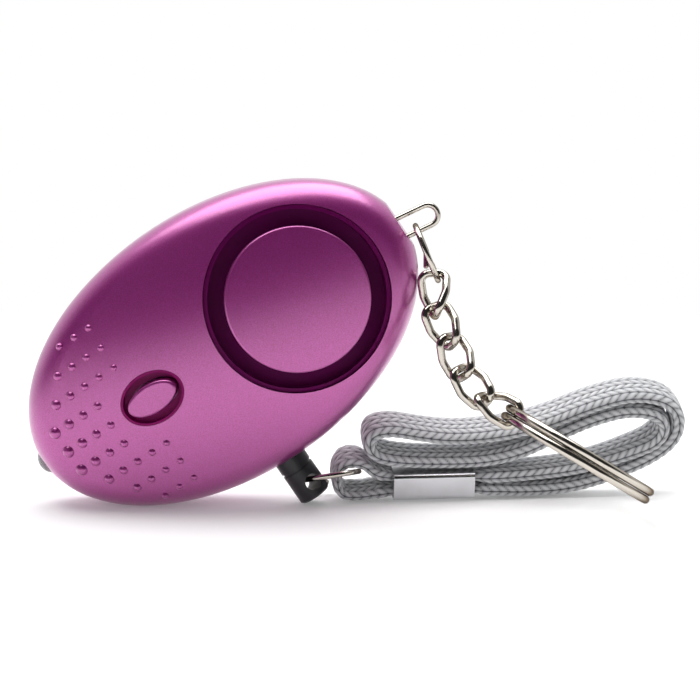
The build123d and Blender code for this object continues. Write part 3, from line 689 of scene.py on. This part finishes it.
def wrist_strap():
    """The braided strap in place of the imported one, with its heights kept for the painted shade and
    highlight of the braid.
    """
    line = strap_line()
    length = running_lengths(line)[-1]
    points = even_points(line, round(length / RING_STEP))
    verts, braid_shade = strap_surface(points, length)
    mesh = bpy.data.meshes.new("wrist_strap_braid")
    mesh.from_pydata([tuple(vert) for vert in verts], [], tube_faces(len(points), RING_POINTS))
    attribute = mesh.attributes.new("braid_shade", "FLOAT", "POINT")
    attribute.data.foreach_set("value", braid_shade)
    mesh.materials.append(braid())
    strap = bpy.data.objects.new("wrist_strap_braid", mesh)
    bpy.context.scene.collection.objects.link(strap)
    select_only(strap)
    bpy.ops.object.mode_set(mode="EDIT")
    bpy.ops.mesh.select_all(action="SELECT")
    bpy.ops.mesh.normals_make_consistent(inside=False)
    bpy.ops.object.mode_set(mode="OBJECT")
    bpy.ops.object.shade_smooth()
    deselect_all()
    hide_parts("wrist_strap")
    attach(strap, "lanyard")


wrist_strap()


# Stage


def area_light(name, offset, size, power, mirrored):
    aim = case_middle + Vector(LIT_PLACE)
    place = aim + Vector(offset)
    data = bpy.data.lights.new(name, "AREA")
    data.shape = "RECTANGLE"
    data.size, data.size_y = size
    data.energy = power
    lamp = bpy.data.objects.new(name, data)
    bpy.context.scene.collection.objects.link(lamp)
    lamp.location = place
    lamp.rotation_mode = "QUATERNION"
    lamp.rotation_quaternion = (aim - place).to_track_quat("-Z", "Y")
    lamp.visible_glossy = mirrored


def floor_material():
    """White paint with the object's shadow, plain white further off, lighter to eye and mirror."""
    material, shader = new_material("floor_white")
    set_values(shader, Base_Color=(FLOOR_SHADE, FLOOR_SHADE, FLOOR_SHADE, 1), Roughness=0.9)
    set_values(shader, Specular_IOR_Level=0.1)
    place = add_node(material, "ShaderNodeTexCoord")
    distance = add_node(material, "ShaderNodeVectorMath", operation="LENGTH")
    link(material, place.outputs["Object"], distance.inputs[0])
    far = add_node(material, "ShaderNodeMapRange")
    far.inputs["From Min"].default_value = FLOOR_NEAR
    far.inputs["From Max"].default_value = FLOOR_FAR
    link(material, distance.outputs["Value"], far.inputs["Value"])
    seen = add_node(material, "ShaderNodeLightPath")
    looked_at = add_node(material, "ShaderNodeMath", operation="MAXIMUM")
    link(material, seen.outputs["Is Camera Ray"], looked_at.inputs[0])
    link(material, seen.outputs["Is Glossy Ray"], looked_at.inputs[1])
    share = add_node(material, "ShaderNodeMath", operation="MULTIPLY")
    share.inputs[1].default_value = FLOOR_LIFT
    link(material, looked_at.outputs["Value"], share.inputs[0])
    lift = add_node(material, "ShaderNodeEmission", Color=WHITE)
    link(material, share.outputs["Value"], lift.inputs["Strength"])
    near = add_node(material, "ShaderNodeAddShader")
    link(material, shader.outputs["BSDF"], near.inputs[0])
    link(material, lift.outputs["Emission"], near.inputs[1])
    beyond = add_node(material, "ShaderNodeMath", operation="MULTIPLY")
    link(material, far.outputs["Result"], beyond.inputs[0])
    link(material, looked_at.outputs["Value"], beyond.inputs[1])
    plain_white = add_node(material, "ShaderNodeEmission", Color=WHITE, Strength=1.0)
    mix = add_node(material, "ShaderNodeMixShader")
    link(material, beyond.outputs["Value"], mix.inputs["Fac"])
    link(material, near.outputs["Shader"], mix.inputs[1])
    link(material, plain_white.outputs["Emission"], mix.inputs[2])
    surface = material.node_tree.nodes["Material Output"].inputs["Surface"]
    link(material, mix.outputs["Shader"], surface)
    return material


def floor():
    deselect_all()
    bpy.ops.mesh.primitive_plane_add(size=FLOOR_SIZE, location=(0, 0, 0))
    plane = bpy.context.object
    plane.name = "floor"
    plane.data.materials.append(floor_material())


def world():
    """White where the camera sees it, and a soft grey room for the light and the reflections."""
    data = bpy.data.worlds.new("studio")
    bpy.context.scene.world = data
    data.use_nodes = True
    tree = data.node_tree
    seen = tree.nodes.new("ShaderNodeLightPath")
    white = tree.nodes["Background"]
    white.inputs["Color"].default_value = WHITE
    white.inputs["Strength"].default_value = 1.0
    soft = tree.nodes.new("ShaderNodeBackground")
    soft.inputs["Color"].default_value = WHITE
    way = tree.nodes.new("ShaderNodeTexCoord")
    parts = tree.nodes.new("ShaderNodeSeparateXYZ")
    tree.links.new(way.outputs["Generated"], parts.inputs["Vector"])
    room = tree.nodes.new("ShaderNodeMapRange")
    room.interpolation_type = "SMOOTHSTEP"
    room.inputs["From Min"].default_value = ROOM_FRONT
    room.inputs["From Max"].default_value = ROOM_BACK
    room.inputs["To Min"].default_value = ROOM_DARK
    room.inputs["To Max"].default_value = ROOM_LIGHT
    tree.links.new(parts.outputs["Y"], room.inputs["Value"])
    tree.links.new(room.outputs["Result"], soft.inputs["Strength"])
    mix = tree.nodes.new("ShaderNodeMixShader")
    tree.links.new(seen.outputs["Is Camera Ray"], mix.inputs["Fac"])
    tree.links.new(soft.outputs["Background"], mix.inputs[1])
    tree.links.new(white.outputs["Background"], mix.inputs[2])
    tree.links.new(mix.outputs["Shader"], tree.nodes["World Output"].inputs["Surface"])


def camera():
    rise = radians(VIEW_ELEVATION)
    forward = Vector((0.0, cos(rise), -sin(rise)))
    target = case_middle + Vector(VIEW_TARGET)
    data = bpy.data.cameras.new("camera")
    data.sensor_width = SENSOR
    data.lens = VIEW_PIXELS / IMAGE_PIXELS * SENSOR
    data.clip_start = VIEW_NEAR
    data.clip_end = VIEW_FAR
    view = bpy.data.objects.new("camera", data)
    bpy.context.scene.collection.objects.link(view)
    view.location = target - forward * VIEW_DISTANCE
    view.rotation_mode = "QUATERNION"
    view.rotation_quaternion = forward.to_track_quat("-Z", "Y")
    bpy.context.scene.camera = view


floor()
world()
for lamp in LAMPS:
    area_light(*lamp)
camera()
bpy.context.scene.view_settings.view_transform = "Standard"
